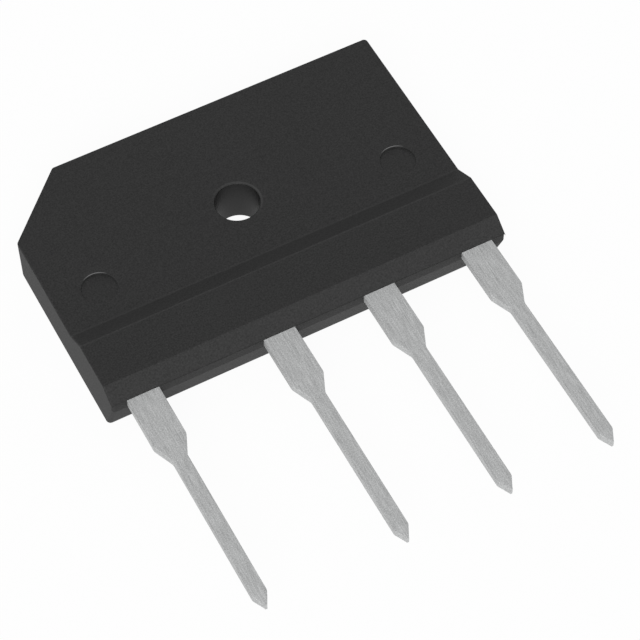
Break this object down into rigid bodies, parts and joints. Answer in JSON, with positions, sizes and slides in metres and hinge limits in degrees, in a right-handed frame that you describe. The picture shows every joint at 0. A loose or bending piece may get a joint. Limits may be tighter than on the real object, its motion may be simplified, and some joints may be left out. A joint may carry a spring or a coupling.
{
  "type": "bridge rectifier",
  "caption": "Single-in-line bridge rectifier: a flat black moulded body with a screw hole, one cut corner and a raised band, and a row of flat shouldered leads.",
  "frame": {"origin": "centre of the screw hole on the flat heat-sink face", "axes": "+Z along the screw hole, out of the front face; -Y the way the leads run; +X from the positive lead to the negative lead"},
  "size_m": [0.0296, 0.0376, 0.0046],
  "materials": {
    "epoxy_body": "matt black filled epoxy, transfer moulded",
    "tinned_lead_frame": "matt tin plate over rolled copper strip",
    "silicon_chip": "nickel-plated silicon",
    "copper_clip": "bare rolled copper",
    "solder": "dull high-lead solder"
  },
  "bodies": {
    "root": {"molded_body": "epoxy_body", "positive_lead": "tinned_lead_frame", "ac_lead_a": "tinned_lead_frame", "ac_lead_b": "tinned_lead_frame", "negative_lead": "tinned_lead_frame", "diode_chip_1": "silicon_chip", "diode_chip_2": "silicon_chip", "diode_chip_3": "silicon_chip", "diode_chip_4": "silicon_chip", "ac_clip_a": "copper_clip", "ac_clip_b": "copper_clip", "negative_clip": "copper_clip", "die_solder_1": "solder", "die_solder_2": "solder", "die_solder_3": "solder", "die_solder_4": "solder", "top_solder_1": "solder", "top_solder_2": "solder", "top_solder_3": "solder", "top_solder_4": "solder", "foot_solder_a": "solder", "foot_solder_b": "solder", "foot_solder_n": "solder"}
  },
  "joints": []
}
